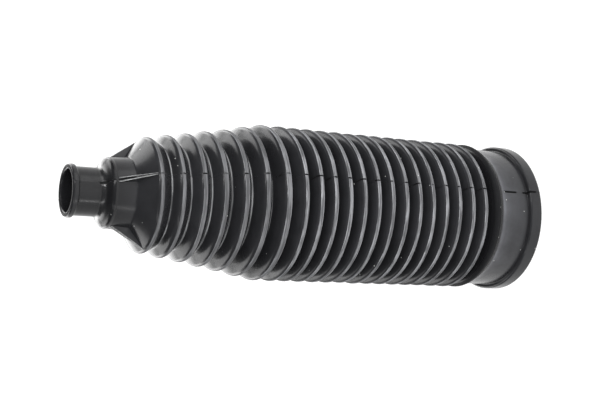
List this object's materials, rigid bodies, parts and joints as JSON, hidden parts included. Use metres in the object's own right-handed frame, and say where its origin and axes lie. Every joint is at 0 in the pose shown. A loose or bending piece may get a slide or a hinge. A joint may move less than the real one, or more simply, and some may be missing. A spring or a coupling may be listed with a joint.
{
  "type": "rubber bellows boot",
  "caption": "Tapered rubber bellows sleeve with a wide clamp cuff at one end and a beaded narrow neck at the other, to seal a sliding rod against dirt and water",
  "frame": {"origin": "centre of the wide end's flat ring, on the plane that the boot stands on", "axes": "+Z along the boot's axis from the wide end to the narrow end; +X and +Y each through one of the four webs, with the mould line in the YZ plane"},
  "size_m": [0.059, 0.059, 0.185],
  "materials": {
    "black_rubber": "satin moulded rubber, charcoal black with a fine grain"
  },
  "bodies": {
    "root": {"bellows_boot": "black_rubber"}
  },
  "joints": []
}
